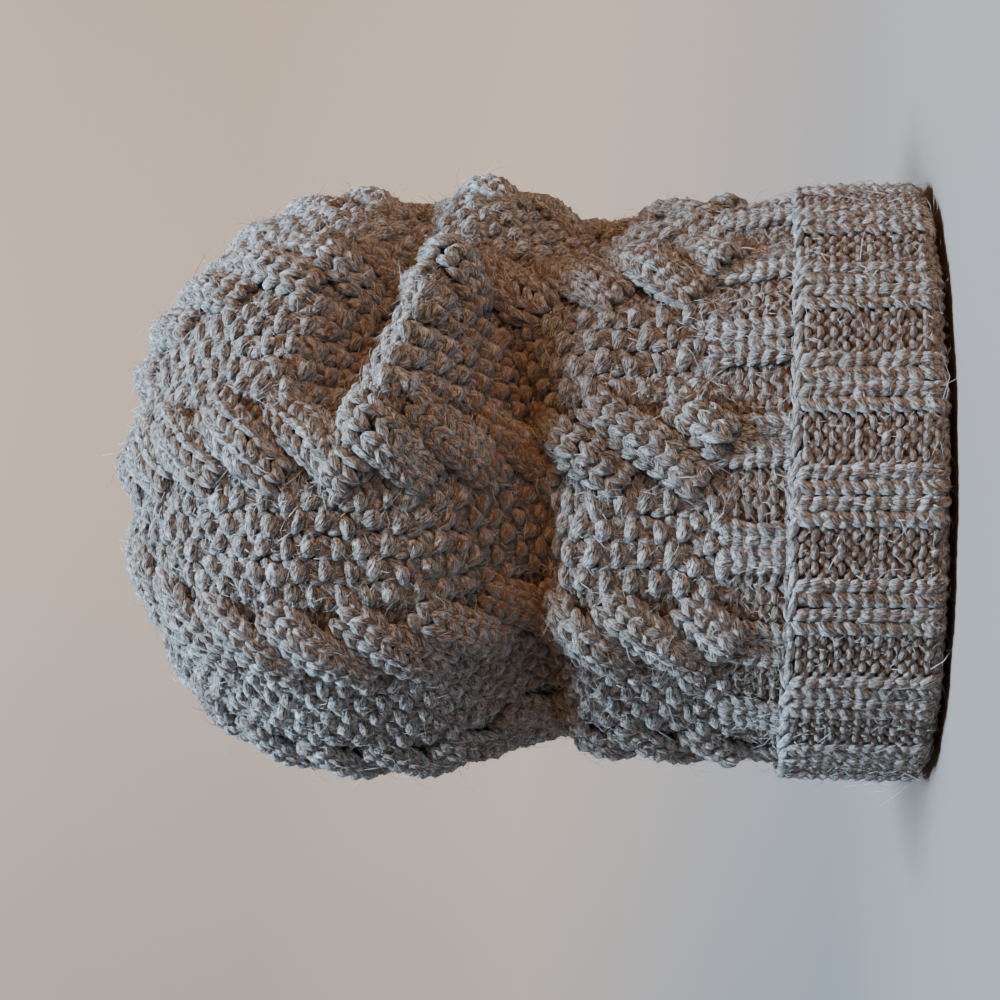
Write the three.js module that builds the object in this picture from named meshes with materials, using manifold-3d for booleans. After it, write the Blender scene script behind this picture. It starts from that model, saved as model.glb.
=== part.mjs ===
// A cable knit beanie, standing on its turned-up cuff.
// Millimetres, +Z up, the front facing -Y, azimuths in degrees from the front towards +X.
import * as THREE from 'three';
import { mergeVertices } from 'three/addons/utils/BufferGeometryUtils.js';
import Module from 'manifold-3d';

const wasm = await Module();
wasm.setup();

// Overall sizes of the knitted crown. Its rim inside the cuff is a share of its radius.
const HAT_HEIGHT = 236;
const CROWN_RADIUS = 85.5;
const RIM_SHARE = 0.965;
const RIM_RADIUS = RIM_SHARE * CROWN_RADIUS;
const KNIT_WALL = 4.5;

// The turned-up cuff
const CUFF_HEIGHT = 39.5;
const CUFF_TOP_TILT = 2.4;
const CUFF_WALL = 3.2;
const CUFF_RIDGE = 1.5;
const FOLD_THICKNESS = 4;
const CUFF_EDGE_ROUND = 4;
const CAST_ON_BEAD = 0.7;
const CLEARANCE = 0.4;
const RIM_HEIGHT = FOLD_THICKNESS + CLEARANCE;

// Shares that shape the cuff's section: of its rounded fold, its wall, its ridges and its folded rim
const FOLD_SHOULDER = 0.3;
const EDGE_SHOULDER = 0.5;
const EDGE_CREST = 0.6;
const EDGE_INNER_SHOULDER = 0.3;
const RIDGE_LEAN = 0.2;
const RIDGE_STEEPNESS = 2;
const RIM_SHOULDER = 0.4;
const RIM_ROUND = 0.3;

// The stitch pattern: cables between moss stitch panels, two ribs to each cable
const CABLES = 9;
const RIBS_PER_CABLE = 2;
const FRONT_CABLE_AZIMUTH = 6.8;
const PATTERN_DRIFT = 2.9;
const CABLE_WIDTH = 27;
const CABLE_RAISE = 3.2;
const CABLE_PITCH = 20.8;
const STRAND_WIDTH = 13.5;
const STRAND_LEVEL = 0.72;
const STRAND_SWING = 0.45;
const WIDEST_CABLE = 0.8;
const RIB_HEIGHT = 16;
const RIB_RAISE = 1.1;
const CABLE_END_RADIUS = 48;
const RELIEF_START = 4;

// How finely the surfaces are cut into facets
const ROWS_PER_CABLE_PITCH = 4;
const CABLE_COLUMNS = 4;
const PANEL_COLUMNS = 3;
const LINING_COLUMNS = 36;
const LINING_ROWS = 24;
const RIB_COLUMNS = 5;
const PROFILE_STEPS = 240;
const STEEPEST_FOLD = 0.6;
const SLOPE_STEP = 1e-3;

// The crown's outline. Height is a share of the hat's height, radius a share of the crown's radius.
const OUTLINE = [
  { height: 0.174, radius: RIM_SHARE },
  { height: 0.25, radius: 0.938 },
  { height: 0.35, radius: 0.922 },
  { height: 0.44, radius: 0.935 },
  { height: 0.535, radius: 0.975 },
  { height: 0.636, radius: 0.988 },
  { height: 0.72, radius: 1.0 },
  { height: 0.8, radius: 0.955 },
  { height: 0.87, radius: 0.85 },
  { height: 0.932, radius: 0.66 },
  { height: 0.979, radius: 0.38 },
  { height: 1.0, radius: 0 },
];

// The folds of the soft crown. A fold runs level or slanting past its middle at azimuth and height,
// reaches as far as span to both sides, and is as wide as above and below say. Depth is inward where
// it is negative. Azimuth and span are degrees, rise is a share of the hat's height over the whole
// span, height, above and below are shares of the hat's height, depth is a share of the radius.
// FOLD_CRISPNESS says how quickly a fold's sides run out.
const FOLD_CRISPNESS = 1.6;
const FOLDS = {
  frontCrease: { azimuth: -30, span: 54, height: 0.456, rise: 0.0, above: 0.105, below: 0.047, depth: -0.185 },
  frontHollow: { azimuth: 32, span: 26, height: 0.488, rise: 0.035, above: 0.065, below: 0.042, depth: -0.13 },
  rightCrease: { azimuth: 74, span: 38, height: 0.392, rise: -0.03, above: 0.085, below: 0.045, depth: -0.07 },
  slantingRidge: { azimuth: 26, span: 27, height: 0.59, rise: -0.055, above: 0.036, below: 0.06, depth: 0.085 },
  rightRidge: { azimuth: 84, span: 36, height: 0.55, rise: -0.01, above: 0.05, below: 0.08, depth: 0.05 },
  rightValley: { azimuth: 36, span: 24, height: 0.63, rise: -0.045, above: 0.065, below: 0.034, depth: -0.13 },
  sideValley: { azimuth: 80, span: 22, height: 0.618, rise: 0.0, above: 0.06, below: 0.042, depth: -0.06 },
  leftBulge: { azimuth: -60, span: 45, height: 0.6, rise: 0.0, above: 0.13, below: 0.1, depth: 0.012 },
  leftCrease: { azimuth: -105, span: 34, height: 0.41, rise: 0.02, above: 0.08, below: 0.05, depth: -0.015 },
  backCrease: { azimuth: 172, span: 58, height: 0.44, rise: 0.03, above: 0.09, below: 0.055, depth: -0.1 },
  backRidge: { azimuth: 205, span: 45, height: 0.61, rise: 0.05, above: 0.08, below: 0.06, depth: 0.04 },
};

const TURN = 2 * Math.PI;
const radians = THREE.MathUtils.degToRad;
const smooth = THREE.MathUtils.smoothstep;

// The signed angle from one azimuth to another, between -180 and 180 degrees.
function turnBetween(from, to) {
  return THREE.MathUtils.euclideanModulo(to - from + 180, 360) - 180;
}

// The outline from the rim to the top, as a curve through the table's points.
const outlineCurve = makeOutlineCurve();

function makeOutlineCurve() {
  const points = [new THREE.Vector3(RIM_RADIUS, 0, RIM_HEIGHT)];
  for (const row of OUTLINE) {
    points.push(new THREE.Vector3(row.radius * CROWN_RADIUS, 0, row.height * HAT_HEIGHT));
  }
  return new THREE.CatmullRomCurve3(points, false, 'centripetal');
}

// How far the folds push the wall outward at an azimuth and a height.
function foldDepth(azimuth, height) {
  let depth = 0;
  for (const fold of Object.values(FOLDS)) {
    const along = turnBetween(fold.azimuth, azimuth) / fold.span;
    const middle = (fold.height + fold.rise * along) * HAT_HEIGHT;
    const reach = (height > middle ? fold.above : fold.below) * HAT_HEIGHT;
    const across = (height - middle) / reach;
    const fade = Math.exp(-(along ** 4) - FOLD_CRISPNESS * across * across);
    depth += fold.depth * CROWN_RADIUS * fade;
  }
  return depth;
}

// The smooth wall, without its stitches: a point at an azimuth and a share of the outline.
function wallPoint(azimuth, share) {
  const outline = outlineCurve.getPoint(share);
  const clearOfCuff = smooth(outline.z, CUFF_HEIGHT + CUFF_TOP_TILT, CUFF_HEIGHT + RIB_HEIGHT);
  const radius = Math.max(outline.x, 0);
  const fade = clearOfCuff * smooth(radius, 0, CROWN_RADIUS / 2);
  const reach = radius + fade * foldDepth(azimuth, outline.z);
  const angle = radians(azimuth);
  return new THREE.Vector3(reach * Math.sin(angle), -reach * Math.cos(angle), outline.z);
}

// The direction out of the unfolded outline, which stays clear of itself in the creases.
function outlineNormal(azimuth, share) {
  const along = outlineCurve.getTangent(share);
  const angle = radians(azimuth);
  return new THREE.Vector3(along.z * Math.sin(angle), -along.z * Math.cos(angle), -along.x).normalize();
}

// How steeply the folded wall leans against the outline's normal, as a cosine.
function foldLean(azimuth, share) {
  const low = Math.max(share - SLOPE_STEP, 0);
  const high = Math.min(share + SLOPE_STEP, 1);
  const up = wallPoint(azimuth, high).sub(wallPoint(azimuth, low)).normalize();
  return Math.sqrt(Math.max(1 - up.dot(outlineNormal(azimuth, share)) ** 2, 0));
}

// The azimuth of a place in the pattern, which is counted in cables from the front one.
function patternAzimuth(cable) {
  const evenly = (360 / CABLES) * cable;
  return FRONT_CABLE_AZIMUTH + evenly - PATTERN_DRIFT * Math.sin(radians(evenly));
}

// Shares of the outline that lie evenly spaced along the folded wall at one azimuth.
function evenShares(azimuth, rows) {
  const lengths = [0];
  let last = wallPoint(azimuth, 0);
  for (let step = 1; step <= PROFILE_STEPS; step += 1) {
    const next = wallPoint(azimuth, step / PROFILE_STEPS);
    lengths.push(lengths[step - 1] + next.distanceTo(last));
    last = next;
  }
  const shares = [];
  let step = 1;
  for (let row = 0; row <= rows; row += 1) {
    const target = (lengths[PROFILE_STEPS] * row) / rows;
    while (step < PROFILE_STEPS && lengths[step] < target) {
      step += 1;
    }
    const part = (target - lengths[step - 1]) / (lengths[step] - lengths[step - 1]);
    shares.push((step - 1 + part) / PROFILE_STEPS);
  }
  return { shares, length: lengths[PROFILE_STEPS] };
}

// How high a rope of two crossing strands stands at a distance from its middle and along it.
function ropeHeight(across, along) {
  const lane = STRAND_WIDTH / 2;
  let height = 0;
  for (const start of [0, Math.PI]) {
    const phase = (Math.PI * along) / CABLE_PITCH + start;
    const offset = (across + lane * Math.cos(phase)) / lane;
    const dome = Math.sqrt(Math.max(1 - offset * offset, 0));
    height = Math.max(height, CABLE_RAISE * dome * (STRAND_LEVEL + STRAND_SWING * Math.sin(phase)));
  }
  return height;
}

// The stitches' relief: ribs just above the cuff, then cables between flat panels.
function relief(cablePlace, across, height, along, radius) {
  const cuffEdge = CUFF_HEIGHT + CUFF_TOP_TILT;
  const aboveCuff = smooth(height, cuffEdge, cuffEdge + RELIEF_START);
  const ribTop = CUFF_HEIGHT + RIB_HEIGHT;
  const aboveRib = smooth(height, ribTop - RELIEF_START, ribTop + RELIEF_START);
  const inCables = aboveRib * smooth(radius, 0, CABLE_END_RADIUS);
  const wave = Math.max(Math.cos(TURN * RIBS_PER_CABLE * cablePlace), 0);
  const rib = RIB_RAISE * wave * smooth(radius, 0, CROWN_RADIUS);
  return aboveCuff * ((1 - inCables) * rib + inCables * ropeHeight(across, along));
}

// A closed mesh from rings of points, stacked upward, with a flat fan below and a point on top.
function stackRings(rings, bottom, top) {
  const columns = rings[0].length;
  const positions = [];
  const triangles = [];
  for (const ring of rings) {
    for (const point of ring) {
      positions.push(point.x, point.y, point.z);
    }
  }
  const bottomIndex = positions.length / 3;
  positions.push(bottom.x, bottom.y, bottom.z);
  const topIndex = bottomIndex + 1;
  positions.push(top.x, top.y, top.z);
  const lastRing = (rings.length - 1) * columns;
  for (let column = 0; column < columns; column += 1) {
    const next = (column + 1) % columns;
    for (let row = 0; row < rings.length - 1; row += 1) {
      const low = row * columns;
      const high = low + columns;
      triangles.push(low + column, low + next, high + next);
      triangles.push(low + column, high + next, high + column);
    }
    triangles.push(bottomIndex, next, column);
    triangles.push(topIndex, lastRing + column, lastRing + next);
  }
  return new wasm.Manifold(new wasm.Mesh({
    numProp: 3,
    vertProperties: new Float32Array(positions),
    triVerts: new Uint32Array(triangles),
  }));
}

function toGeometry(solid) {
  const mesh = solid.getMesh();
  const geometry = new THREE.BufferGeometry();
  const positions = new THREE.BufferAttribute(new Float32Array(mesh.vertProperties), mesh.numProp);
  geometry.setAttribute('position', positions);
  geometry.setIndex(new THREE.BufferAttribute(new Uint32Array(mesh.triVerts), 1));
  return mergeVertices(geometry);
}

// The crown's outer skin, one column of points for each place in the pattern.
function outerSkin() {
  const { length: wallLength } = evenShares(patternAzimuth(0), 1);
  const rows = Math.round((wallLength / CABLE_PITCH) * ROWS_PER_CABLE_PITCH);
  const columns = CABLE_COLUMNS + PANEL_COLUMNS;
  const rings = Array.from({ length: rows }, () => []);
  for (let cable = 0; cable < CABLES; cable += 1) {
    for (let column = 0; column < columns; column += 1) {
      const guess = cable + column / columns;
      const { shares } = evenShares(patternAzimuth(guess), rows);
      for (let row = 0; row < rows; row += 1) {
        rings[row].push(skinPoint(cable, column, shares[row], row));
      }
    }
  }
  return stackRings(rings, new THREE.Vector3(0, 0, RIM_HEIGHT), new THREE.Vector3(0, 0, HAT_HEIGHT));
}

// One point of the outer skin. A cable keeps its width up the crown while the panels narrow.
function skinPoint(cable, column, share, row) {
  const outline = outlineCurve.getPoint(share);
  const radius = Math.max(outline.x, 0);
  const repeat = (TURN * radius) / CABLES;
  const width = Math.min(CABLE_WIDTH, repeat * WIDEST_CABLE);
  const beyond = column - CABLE_COLUMNS;
  const across = beyond <= 0
    ? width * (column / CABLE_COLUMNS - 0.5)
    : width / 2 + ((repeat - width) * beyond) / PANEL_COLUMNS;
  const place = cable + across / repeat;
  const azimuth = patternAzimuth(place);
  const along = (row / ROWS_PER_CABLE_PITCH) * CABLE_PITCH;
  const inRope = beyond > 0 ? CABLE_WIDTH : (across * CABLE_WIDTH) / width;
  const height = relief(place, inRope, outline.z, along, radius);
  return wallPoint(azimuth, share).addScaledVector(outlineNormal(azimuth, share), height);
}

// The hollow inside the crown, down through the rim.
function hollow() {
  const rings = Array.from({ length: LINING_ROWS }, () => []);
  for (let column = 0; column < LINING_COLUMNS; column += 1) {
    const azimuth = (360 * column) / LINING_COLUMNS;
    const { shares } = evenShares(azimuth, LINING_ROWS);
    for (let row = 0; row < LINING_ROWS; row += 1) {
      const share = shares[row];
      const depth = KNIT_WALL / Math.max(foldLean(azimuth, share), STEEPEST_FOLD);
      const point = wallPoint(azimuth, share).addScaledVector(outlineNormal(azimuth, share), -depth);
      if (row === 0) {
        point.z = 0;
      }
      rings[row].push(point);
    }
  }
  return stackRings(rings, new THREE.Vector3(0, 0, 0), new THREE.Vector3(0, 0, HAT_HEIGHT - KNIT_WALL));
}

function makeCrown() {
  const material = new THREE.MeshStandardMaterial({ color: 0x8f8379, roughness: 0.95, metalness: 0 });
  const mesh = new THREE.Mesh(toGeometry(outerSkin().subtract(hollow())), material);
  mesh.name = 'crown';
  return mesh;
}

// The height of the cuff's upper edge, which lies slightly aslant.
function cuffTop(azimuth) {
  return CUFF_HEIGHT - CUFF_TOP_TILT * Math.sin(radians(azimuth));
}

// How far the cuff's knit ridges stand out. They lie between the crown's ribs.
function ridge(place) {
  const wave = Math.cos(TURN * RIBS_PER_CABLE * place);
  return (CUFF_RIDGE / 2) * (1 - Math.tanh(RIDGE_STEEPNESS * wave));
}

// The cuff's section at one place: up the outside, over the edge, down the inside and under the rim.
function cuffSection(place) {
  const azimuth = patternAzimuth(place);
  const top = cuffTop(azimuth);
  const inside = RIM_RADIUS + CLEARANCE;
  const valley = inside + CUFF_WALL;
  const outside = valley + ridge(place);
  const rim = RIM_RADIUS - KNIT_WALL;
  const edge = Math.min(CUFF_EDGE_ROUND, CUFF_WALL);
  return [
    { radius: valley - edge, height: 0 },
    { radius: outside - FOLD_SHOULDER * edge, height: FOLD_SHOULDER * CUFF_EDGE_ROUND },
    { radius: outside, height: CUFF_EDGE_ROUND },
    { radius: outside - (RIDGE_LEAN * CUFF_RIDGE) / 2, height: top / 2 },
    { radius: outside - RIDGE_LEAN * CUFF_RIDGE, height: top - CUFF_WALL },
    { radius: valley + CAST_ON_BEAD, height: top - EDGE_SHOULDER * CUFF_WALL },
    { radius: inside + EDGE_CREST * CUFF_WALL, height: top },
    { radius: inside, height: top - EDGE_INNER_SHOULDER * CUFF_WALL },
    { radius: inside, height: FOLD_THICKNESS },
    { radius: rim, height: FOLD_THICKNESS },
    { radius: rim, height: RIM_SHOULDER * FOLD_THICKNESS },
    { radius: rim + RIM_ROUND * KNIT_WALL, height: 0 },
  ].map(({ radius, height }) => {
    const angle = radians(azimuth);
    return new THREE.Vector3(radius * Math.sin(angle), -radius * Math.cos(angle), height);
  });
}

function makeCuff() {
  const columns = CABLES * RIBS_PER_CABLE * RIB_COLUMNS;
  const sections = Array.from({ length: columns }, (_, column) => cuffSection((column * CABLES) / columns));
  const count = sections[0].length;
  const positions = [];
  const triangles = [];
  sections.flat().forEach((point) => positions.push(point.x, point.y, point.z));
  for (let column = 0; column < columns; column += 1) {
    const here = column * count;
    const next = ((column + 1) % columns) * count;
    for (let step = 0; step < count; step += 1) {
      const up = (step + 1) % count;
      triangles.push(here + step, next + step, next + up);
      triangles.push(here + step, next + up, here + up);
    }
  }
  const geometry = new THREE.BufferGeometry();
  geometry.setAttribute('position', new THREE.Float32BufferAttribute(positions, 3));
  geometry.setIndex(triangles);
  const material = new THREE.MeshStandardMaterial({ color: 0x85796f, roughness: 0.95, metalness: 0 });
  const mesh = new THREE.Mesh(geometry, material);
  mesh.name = 'cuff';
  return mesh;
}

// The crown and the cuff, moved together so that the middle of what they cover is the origin.
const hat = new THREE.Group();
hat.add(makeCrown(), makeCuff());
const middle = new THREE.Box3().setFromObject(hat).getCenter(new THREE.Vector3());
hat.position.set(-middle.x, -middle.y, 0);

export default hat;
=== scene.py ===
"""A cable knit beanie, knitted stitch by stitch over its solids, with its camera and its light."""
import logging
import math
from dataclasses import dataclass, field
from enum import Enum

import bmesh
import bpy
import numpy as np
from mathutils import Matrix, Vector

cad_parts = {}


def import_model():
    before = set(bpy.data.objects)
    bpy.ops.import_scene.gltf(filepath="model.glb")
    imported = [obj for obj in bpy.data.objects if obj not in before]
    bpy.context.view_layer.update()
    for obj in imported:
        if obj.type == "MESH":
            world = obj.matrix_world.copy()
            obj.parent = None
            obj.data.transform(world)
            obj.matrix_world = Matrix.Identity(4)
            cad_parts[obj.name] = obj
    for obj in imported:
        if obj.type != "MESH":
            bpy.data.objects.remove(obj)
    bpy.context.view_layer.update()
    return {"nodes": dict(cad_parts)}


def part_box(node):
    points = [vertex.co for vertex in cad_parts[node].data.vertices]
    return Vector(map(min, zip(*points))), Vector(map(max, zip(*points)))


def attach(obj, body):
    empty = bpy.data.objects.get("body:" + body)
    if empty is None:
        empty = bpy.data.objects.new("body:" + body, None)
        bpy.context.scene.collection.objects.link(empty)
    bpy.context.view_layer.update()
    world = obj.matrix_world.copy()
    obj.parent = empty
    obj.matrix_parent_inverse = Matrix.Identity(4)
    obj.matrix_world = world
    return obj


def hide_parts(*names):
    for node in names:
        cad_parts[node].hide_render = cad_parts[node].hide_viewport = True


MM = 0.001
MERGE = 1e-6
TURN = 2.0 * math.pi
Number = float | np.ndarray
BODY = "root"
YARN = "yarn"
TINT = "tint"
# The mesh attribute named depth holds painted shade: how deep each grain lies, from 0 to 1, which browns
# and darkens its colour.
PAINTED_SHADE = "depth"


@dataclass(frozen=True)
class Fold:
    """A fold of the soft wall, as the part's source gives it: shares of its height and radius."""

    azimuth: float
    span: float
    height: float
    rise: float
    above: float
    below: float
    depth: float


FOLDS = (
    Fold(-30, 54, 0.456, 0.0, 0.105, 0.047, -0.185),
    Fold(32, 26, 0.488, 0.035, 0.065, 0.042, -0.13),
    Fold(74, 38, 0.392, -0.03, 0.085, 0.045, -0.07),
    Fold(26, 27, 0.59, -0.055, 0.036, 0.06, 0.085),
    Fold(84, 36, 0.55, -0.01, 0.05, 0.08, 0.05),
    Fold(36, 24, 0.63, -0.045, 0.065, 0.034, -0.13),
    Fold(80, 22, 0.618, 0.0, 0.06, 0.042, -0.06),
    Fold(-60, 45, 0.6, 0.0, 0.13, 0.1, 0.012),
    Fold(-105, 34, 0.41, 0.02, 0.08, 0.05, -0.015),
    Fold(172, 58, 0.44, 0.03, 0.09, 0.055, -0.1),
    Fold(205, 45, 0.61, 0.05, 0.08, 0.06, 0.04),
)

# How steeply a fold's push falls off above and below its middle.
FOLD_FALL = 1.6

# The crown's outline: shares of the hat's height and of the crown's radius.
OUTLINE = (
    (0.174, 0.965),
    (0.25, 0.938),
    (0.35, 0.922),
    (0.44, 0.935),
    (0.535, 0.975),
    (0.636, 0.988),
    (0.72, 1.0),
    (0.8, 0.955),
    (0.87, 0.85),
    (0.932, 0.66),
    (0.979, 0.38),
    (1.0, 0.0),
)


def smooth(value: Number, start: float, end: float) -> np.ndarray:
    """Return 0 below start, 1 above end and an even slope between."""
    part = np.clip((np.asarray(value, float) - start) / (end - start), 0.0, 1.0)
    return part * part * (3.0 - 2.0 * part)


def unit(vectors: np.ndarray) -> np.ndarray:
    """Return the vectors at length one."""
    return vectors / np.maximum(np.linalg.norm(vectors, axis=-1, keepdims=True), 1e-9)


def column(values: Number, count: int) -> np.ndarray:
    """Return a number or an array of numbers as a column that multiplies vectors."""
    return np.broadcast_to(np.asarray(values, float), (count,))[:, None]


def show(mesh: bpy.types.Mesh) -> bpy.types.Object:
    """Put a mesh into the scene as an object of its own name."""
    piece = bpy.data.objects.new(mesh.name, mesh)
    bpy.context.scene.collection.objects.link(piece)
    return piece


def finished(work: bmesh.types.BMesh, name: str) -> bpy.types.Object:
    """Put worked mesh into the scene, smoothly shaded, and free it.

    Args:
        work: The worked mesh.
        name: The piece's name.

    Returns:
        The new object.
    """
    mesh = bpy.data.meshes.new(name)
    work.to_mesh(mesh)
    work.free()
    mesh.shade_smooth()
    return show(mesh)


@dataclass(frozen=True)
class HatShape:
    """The hat's sizes in millimetres and the soft wall that they give, without its stitches."""

    hat_height: float = 236.0
    crown_radius: float = 85.5
    rim_radius: float = 82.5
    knit_wall: float = 4.5
    cuff_height: float = 39.5
    cuff_top_tilt: float = 2.4
    cuff_wall: float = 3.2
    cuff_ridge: float = 1.5
    fold_thickness: float = 4.0
    clearance: float = 0.4
    cables: int = 9
    ribs_per_cable: int = 2
    front_cable_azimuth: float = 6.8
    pattern_drift: float = 2.9
    cable_width: float = 27.0
    cable_raise: float = 3.2
    cable_pitch: float = 20.8
    rows_per_pitch: int = 6
    rib_height: float = 16.0
    cable_end_radius: float = 48.0

    def azimuth(self, place: np.ndarray) -> np.ndarray:
        """Return the azimuth in degrees of places that are counted in cables from the front one."""
        evenly = 360.0 / self.cables * np.asarray(place, float)
        return self.front_cable_azimuth + evenly - self.pattern_drift * np.sin(np.radians(evenly))

    def outline(self, share: np.ndarray) -> tuple[np.ndarray, np.ndarray]:
        """Follow the outline as a centripetal Catmull-Rom curve.

        Args:
            share: Shares of the outline from rim to top.

        Returns:
            The radius and the height at each share.
        """
        rim = self.fold_thickness + self.clearance
        rows = [(self.rim_radius, rim), (self.rim_radius, OUTLINE[0][0] * self.hat_height)]
        rows += [(radius * self.crown_radius, height * self.hat_height) for height, radius in OUTLINE[1:]]
        points = np.array([(2 * rows[0][0] - rows[1][0], 2 * rows[0][1] - rows[1][1]), *rows,
                           (2 * rows[-1][0] - rows[-2][0], 2 * rows[-1][1] - rows[-2][1])])
        spot = np.clip(np.asarray(share, float), 0.0, 1.0) * (len(rows) - 1)
        start = np.minimum(spot.astype(int), len(rows) - 2)
        part = (spot - start)[..., None]
        before, here, there, after = (points[start + step] for step in range(4))
        gaps = [np.maximum(np.linalg.norm(b - a, axis=-1, keepdims=True), 1e-6) ** 0.5
                for a, b in ((before, here), (here, there), (there, after))]
        leave = ((here - before) / gaps[0] - (there - before) / (gaps[0] + gaps[1])
                 + (there - here) / gaps[1]) * gaps[1]
        arrive = ((there - here) / gaps[1] - (after - here) / (gaps[1] + gaps[2])
                  + (after - there) / gaps[2]) * gaps[1]
        square = part * part
        cube = square * part
        spots = (here + leave * part + (3 * (there - here) - 2 * leave - arrive) * square
                 + (2 * (here - there) + leave + arrive) * cube)
        return np.maximum(spots[..., 0], 0.0), spots[..., 1]

    def fold_depth(self, azimuth: np.ndarray, height: np.ndarray) -> np.ndarray:
        """Add up the folds.

        Args:
            azimuth: Azimuths in degrees.
            height: Heights in millimetres.

        Returns:
            How far the folds push the wall outward there.
        """
        total = np.zeros(np.broadcast(azimuth, height).shape)
        for fold in FOLDS:
            along = ((azimuth - fold.azimuth + 180.0) % 360.0 - 180.0) / fold.span
            middle = (fold.height + fold.rise * along) * self.hat_height
            reach = np.where(height > middle, fold.above, fold.below) * self.hat_height
            across = (height - middle) / reach
            hump = np.exp(-(along**4)) * np.exp(-FOLD_FALL * across * across)
            total += fold.depth * self.crown_radius * hump
        return total

    def wall(self, azimuth: np.ndarray, share: np.ndarray) -> np.ndarray:
        """Find the smooth wall.

        Args:
            azimuth: Azimuths in degrees.
            share: Shares of the outline from rim to top.

        Returns:
            Points in millimetres.
        """
        radius, height = self.outline(share)
        top = self.cuff_height + self.cuff_top_tilt
        clear = smooth(height, top, self.cuff_height + self.rib_height)
        fade = clear * smooth(radius, 0.0, self.crown_radius / 2)
        reach = radius + fade * self.fold_depth(azimuth, height)
        angle = np.radians(azimuth)
        return np.stack([reach * np.sin(angle), -reach * np.cos(angle), height], axis=-1)

    def cuff_top(self, place: np.ndarray) -> np.ndarray:
        """Return the height of the cuff's upper edge, which lies slightly aslant."""
        return self.cuff_height - self.cuff_top_tilt * np.sin(np.radians(self.azimuth(place)))

    def ridge(self, place: np.ndarray) -> np.ndarray:
        """Return how far the cuff's knit ridges stand out of its purl valleys."""
        wave = np.cos(TURN * self.ribs_per_cable * np.asarray(place, float))
        return self.cuff_ridge * (0.5 - 0.5 * np.tanh(2.0 * wave))


@dataclass
class Spots:
    """Places on the knitting with the directions across, up and out of it, in millimetres."""

    point: np.ndarray
    across: np.ndarray
    up: np.ndarray
    out: np.ndarray

    def moved(self, across: Number = 0.0, up: Number = 0.0, out: Number = 0.0) -> "Spots":
        """Move the spots along their own directions.

        Args:
            across: Millimetres across.
            up: Millimetres up.
            out: Millimetres outward.

        Returns:
            Spots with the same directions.
        """
        count = len(self.point)
        point = (self.point + self.across * column(across, count) + self.up * column(up, count)
                 + self.out * column(out, count))
        return Spots(point, self.across, self.up, self.out)

    def turned(self, lean: Number = 0.0, roll: Number = 0.0) -> "Spots":
        """Turn the directions of the spots.

        Args:
            lean: Angle in the surface, from up towards across.
            roll: Angle about up, from out towards across.

        Returns:
            Spots at the same points.
        """
        count = len(self.point)
        sine, cosine = np.sin(column(lean, count)), np.cos(column(lean, count))
        up = self.up * cosine + self.across * sine
        across = self.across * cosine - self.up * sine
        sine, cosine = np.sin(column(roll, count)), np.cos(column(roll, count))
        out = self.out * cosine + across * sine
        across = across * cosine - self.out * sine
        return Spots(self.point, across, up, out)

    def some(self, which: np.ndarray) -> "Spots":
        """Return only the spots that a mask or a list of numbers names."""
        return Spots(self.point[which], self.across[which], self.up[which], self.out[which])


class CrownMap:
    """Finds places on the folded crown by pattern place and by knitted row."""

    columns = 360
    steps = 420
    parts_of_pitch = 3
    near_place = 0.03
    near_row = 0.7

    def __init__(self, shape: HatShape) -> None:
        """Lay an even net over the wall, with rows of one length at each place.

        Args:
            shape: The hat's sizes.
        """
        self.shape = shape
        places = np.arange(self.columns) / self.columns * shape.cables
        azimuths = shape.azimuth(places)[:, None]
        shares = np.linspace(0.0, 1.0, self.steps)[None, :]
        net = shape.wall(azimuths, np.broadcast_to(shares, (self.columns, self.steps)))
        lengths = np.linalg.norm(np.diff(net, axis=1), axis=2).cumsum(axis=1)
        lengths = np.concatenate([np.zeros((self.columns, 1)), lengths], axis=1)
        even = np.linspace(0.0, 1.0, self.steps)
        self.share = np.array([np.interp(even, line / line[-1], shares[0]) for line in lengths])
        self.net = shape.wall(azimuths, self.share)
        pitches = lengths[0, -1] / shape.cable_pitch
        self.rows = int(round(pitches * self.parts_of_pitch)) * shape.rows_per_pitch // self.parts_of_pitch

    def _blend(self, table: np.ndarray, place: np.ndarray, row: np.ndarray) -> np.ndarray:
        """Read a table of the net between its columns and steps.

        Args:
            table: A value or a point for each column and step.
            place: Pattern places.
            row: Knitted rows.

        Returns:
            The table's values there.
        """
        at = (np.asarray(place, float) / self.shape.cables * self.columns) % self.columns
        left = at.astype(int) % self.columns
        right = (left + 1) % self.columns
        side = at - np.floor(at)
        level = np.clip(np.asarray(row, float) / self.rows, 0.0, 1.0) * (self.steps - 1)
        low = np.minimum(level.astype(int), self.steps - 2)
        rise = level - low
        if table.ndim == 3:
            side, rise = side[..., None], rise[..., None]
        below = table[left, low] * (1 - side) + table[right, low] * side
        above = table[left, low + 1] * (1 - side) + table[right, low + 1] * side
        return below * (1 - rise) + above * rise

    def point(self, place: np.ndarray, row: np.ndarray) -> np.ndarray:
        """Return points of the folded wall."""
        return self._blend(self.net, place, row)

    def outline(self, place: np.ndarray, row: np.ndarray) -> tuple[np.ndarray, np.ndarray]:
        """Return the unfolded outline's radius and height at places and rows."""
        return self.shape.outline(self._blend(self.share, place, row))

    def spots(self, place: np.ndarray, row: np.ndarray) -> Spots:
        """Find places on the wall with their directions.

        Args:
            place: Pattern places.
            row: Knitted rows.

        Returns:
            Spots on the wall.
        """
        place, row = np.broadcast_arrays(np.asarray(place, float), np.asarray(row, float))
        across = unit(self.point(place + self.near_place, row) - self.point(place - self.near_place, row))
        rise = unit(self.point(place, row + self.near_row) - self.point(place, row - self.near_row))
        out = unit(np.cross(across, rise))
        return Spots(self.point(place, row), across, unit(np.cross(out, across)), out)


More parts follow.
